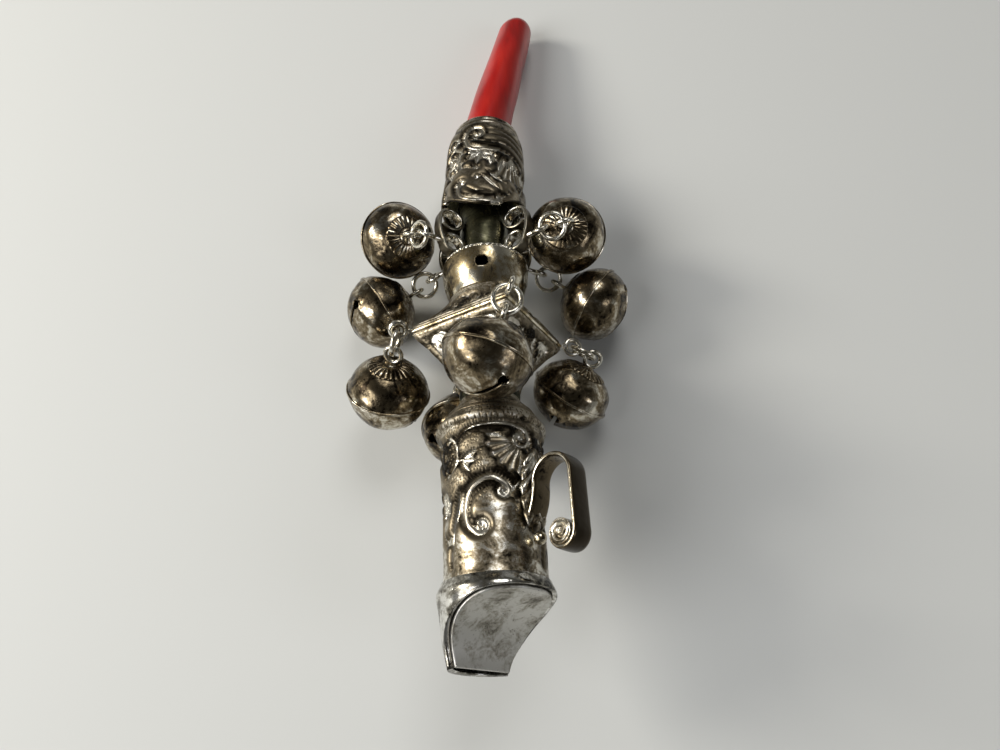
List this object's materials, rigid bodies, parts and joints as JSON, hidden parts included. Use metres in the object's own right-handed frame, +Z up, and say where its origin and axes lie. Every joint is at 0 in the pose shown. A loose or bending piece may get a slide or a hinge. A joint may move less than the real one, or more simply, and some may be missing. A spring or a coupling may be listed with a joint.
{
  "type": "coral and bells rattle",
  "caption": "Antique silver coral and bells rattle: a whistle with a ribbon handle, a square canopy and scroll brackets hung with crotal bells, and a polished red coral stick.",
  "frame": {"origin": "under the middle of the rattle, on the surface that it lies on", "axes": "+Y along the rattle towards the coral, +Z up, +X to the right seen from the whistle end"},
  "size_m": [0.055, 0.1428, 0.0393],
  "materials": {
    "worn_silver": "polished antique silver, worn and lightly tarnished",
    "tarnished_silver": "tarnished antique silver",
    "silver_wire": "drawn silver wire",
    "satin_silver": "rubbed satin silver sheet",
    "block_silver": "plain silver block, dulled",
    "polished_red_coral": "polished red coral",
    "iron_shot": "dull iron shot"
  },
  "bodies": {
    "stem": {"coral_stick": "polished_red_coral", "coral_ferrule": "worn_silver", "vented_knop": "worn_silver", "rope_rim": "worn_silver", "canopy_upper": "worn_silver", "canopy_edge": "worn_silver", "canopy_lower": "worn_silver", "whistle_roof": "worn_silver", "whistle_barrel": "worn_silver", "whistle_mouthpiece": "worn_silver", "ribbon_handle": "worn_silver", "handle_leaf": "worn_silver", "handle_ball": "worn_silver", "neck_tube": "tarnished_silver", "waist_collar": "tarnished_silver", "beak_plate": "satin_silver", "fipple_block": "block_silver", "bell_bracket_1": "worn_silver", "bell_bracket_2": "worn_silver", "bell_bracket_3": "worn_silver", "bell_bracket_4": "worn_silver", "corner_eye_1": "silver_wire", "corner_eye_2": "silver_wire", "corner_eye_3": "silver_wire", "corner_eye_4": "silver_wire"},
    "link_1": {"link_ring_1": "silver_wire"},
    "bell_1": {"bell_crown_1": "tarnished_silver", "bell_bowl_1": "worn_silver"},
    "pellet_1": {"bell_pellet_1": "iron_shot"},
    "link_2": {"link_ring_2": "silver_wire"},
    "bell_2": {"bell_crown_2": "tarnished_silver", "bell_bowl_2": "worn_silver"},
    "pellet_2": {"bell_pellet_2": "iron_shot"},
    "link_3": {"link_ring_3": "silver_wire"},
    "bell_3": {"bell_crown_3": "tarnished_silver", "bell_bowl_3": "worn_silver"},
    "pellet_3": {"bell_pellet_3": "iron_shot"},
    "link_4": {"link_ring_4": "silver_wire"},
    "bell_4": {"bell_crown_4": "tarnished_silver", "bell_bowl_4": "worn_silver"},
    "pellet_4": {"bell_pellet_4": "iron_shot"},
    "link_5": {"link_ring_5": "silver_wire"},
    "bell_5": {"bell_crown_5": "tarnished_silver", "bell_bowl_5": "worn_silver"},
    "pellet_5": {"bell_pellet_5": "iron_shot"},
    "link_6": {"link_ring_6": "silver_wire"},
    "bell_6": {"bell_crown_6": "tarnished_silver", "bell_bowl_6": "worn_silver"},
    "pellet_6": {"bell_pellet_6": "iron_shot"},
    "link_7": {"link_ring_7": "silver_wire"},
    "bell_7": {"bell_crown_7": "tarnished_silver", "bell_bowl_7": "worn_silver"},
    "pellet_7": {"bell_pellet_7": "iron_shot"},
    "link_8": {"link_ring_8": "silver_wire"},
    "bell_8": {"bell_crown_8": "tarnished_silver", "bell_bowl_8": "worn_silver"},
    "pellet_8": {"bell_pellet_8": "iron_shot"}
  },
  "joints": [
    {"name": "link_1_swing", "type": "hinge", "parent": "stem", "child": "link_1", "pos_m": [0.00408, -0.01353, 0.03237], "axis": [0.9647, -0.2285, -0.1311], "range_deg": [-80, 0]},
    {"name": "bell_1_swing", "type": "hinge", "parent": "link_1", "child": "bell_1", "pos_m": [0.00344, -0.01675, 0.03189], "axis": [-0.1175, 0.0722, -0.9904], "range_deg": [-8, 64]},
    {"name": "pellet_1_roll", "type": "hinge", "parent": "bell_1", "child": "pellet_1", "pos_m": [0.00007, -0.02539, 0.03166], "axis": [0.933, -0.3599, 0], "range_deg": [-60, 60]},
    {"name": "link_2_swing", "type": "hinge", "parent": "stem", "child": "link_2", "pos_m": [0.01533, -0.01641, 0.01311], "axis": [-0.2415, 0.4118, -0.8787], "range_deg": [-56, 12]},
    {"name": "bell_2_swing", "type": "hinge", "parent": "link_2", "child": "bell_2", "pos_m": [0.01988, -0.01726, 0.01193], "axis": [-0.8378, 0.3684, 0.4029], "range_deg": [-12, 16]},
    {"name": "pellet_2_roll", "type": "hinge", "parent": "bell_2", "child": "pellet_2", "pos_m": [0.01486, -0.02338, 0.00711], "axis": [-0.1133, 0.9936, 0], "range_deg": [-60, 60]},
    {"name": "link_3_swing", "type": "hinge", "parent": "stem", "child": "link_3", "pos_m": [-0.00415, -0.01807, 0.00199], "axis": [-0.9577, 0.271, 0.0964], "range_deg": [-80, 0]},
    {"name": "bell_3_swing", "type": "hinge", "parent": "link_3", "child": "bell_3", "pos_m": [-0.00528, -0.02134, 0.00208], "axis": [0.225, 0.4972, 0.8379], "range_deg": [0, 8]},
    {"name": "pellet_3_roll", "type": "hinge", "parent": "bell_3", "child": "pellet_3", "pos_m": [-0.00551, -0.02928, 0.00685], "axis": [-0.9902, 0.1396, 0], "range_deg": [-60, 60]},
    {"name": "link_4_swing", "type": "hinge", "parent": "stem", "child": "link_4", "pos_m": [-0.01539, -0.01519, 0.02125], "axis": [-0.1654, -0.6154, 0.7707], "range_deg": [-80, 0]},
    {"name": "bell_4_swing", "type": "hinge", "parent": "link_4", "child": "bell_4", "pos_m": [-0.0164, -0.01775, 0.01935], "axis": [0.9513, -0.3056, -0.0398], "range_deg": [-80, 4]},
    {"name": "pellet_4_roll", "type": "hinge", "parent": "bell_4", "child": "pellet_4", "pos_m": [-0.01843, -0.02312, 0.01208], "axis": [-0.2758, -0.9612, 0], "range_deg": [-60, 60]},
    {"name": "link_5_swing", "type": "hinge", "parent": "stem", "child": "link_5", "pos_m": [0.0104, 0.00405, 0.02081], "axis": [0.2092, -0.854, -0.4763], "range_deg": [0, 80]},
    {"name": "bell_5_swing", "type": "hinge", "parent": "link_5", "child": "bell_5", "pos_m": [0.01465, 0.00411, 0.02329], "axis": [0.9753, 0.1469, 0.1648], "range_deg": [0, 8]},
    {"name": "pellet_5_roll", "type": "hinge", "parent": "bell_5", "child": "pellet_5", "pos_m": [0.0158, 0.0065, 0.0144], "axis": [0.1885, -0.9821, 0], "range_deg": [-60, 60]},
    {"name": "link_6_swing", "type": "hinge", "parent": "stem", "child": "link_6", "pos_m": [0.0104, 0.00213, 0.00791], "axis": [-0.541, -0.7568, -0.367], "range_deg": [-80, 0]},
    {"name": "bell_6_swing", "type": "hinge", "parent": "link_6", "child": "bell_6", "pos_m": [0.01317, 0.00037, 0.00746], "axis": [-0.2355, -0.2826, 0.9299], "range_deg": [-80, 0]},
    {"name": "pellet_6_roll", "type": "hinge", "parent": "bell_6", "child": "pellet_6", "pos_m": [0.02065, -0.00511, 0.00769], "axis": [-0.5831, -0.8124, 0], "range_deg": [-60, 60]},
    {"name": "link_7_swing", "type": "hinge", "parent": "stem", "child": "link_7", "pos_m": [-0.01046, 0.00213, 0.00791], "axis": [-0.6111, 0.6489, 0.4533], "range_deg": [-16, 32]},
    {"name": "bell_7_swing", "type": "hinge", "parent": "link_7", "child": "bell_7", "pos_m": [-0.01292, -0.00001, 0.00709], "axis": [0.2921, -0.3474, 0.8911], "range_deg": [0, 32]},
    {"name": "pellet_7_roll", "type": "hinge", "parent": "bell_7", "child": "pellet_7", "pos_m": [-0.02074, -0.00495, 0.00773], "axis": [-0.5043, 0.8636, 0], "range_deg": [-60, 60]},
    {"name": "link_8_swing", "type": "hinge", "parent": "stem", "child": "link_8", "pos_m": [-0.01046, 0.00405, 0.02081], "axis": [0.1278, 0.8974, 0.4222], "range_deg": [0, 12]},
    {"name": "bell_8_swing", "type": "hinge", "parent": "link_8", "child": "bell_8", "pos_m": [-0.01294, 0.00538, 0.01894], "axis": [-0.8932, -0.0809, 0.4424], "range_deg": [-36, 0]},
    {"name": "pellet_8_roll", "type": "hinge", "parent": "bell_8", "child": "pellet_8", "pos_m": [-0.01701, 0.00888, 0.01138], "axis": [0.1092, 0.994, 0], "range_deg": [-60, 60]}
  ]
}
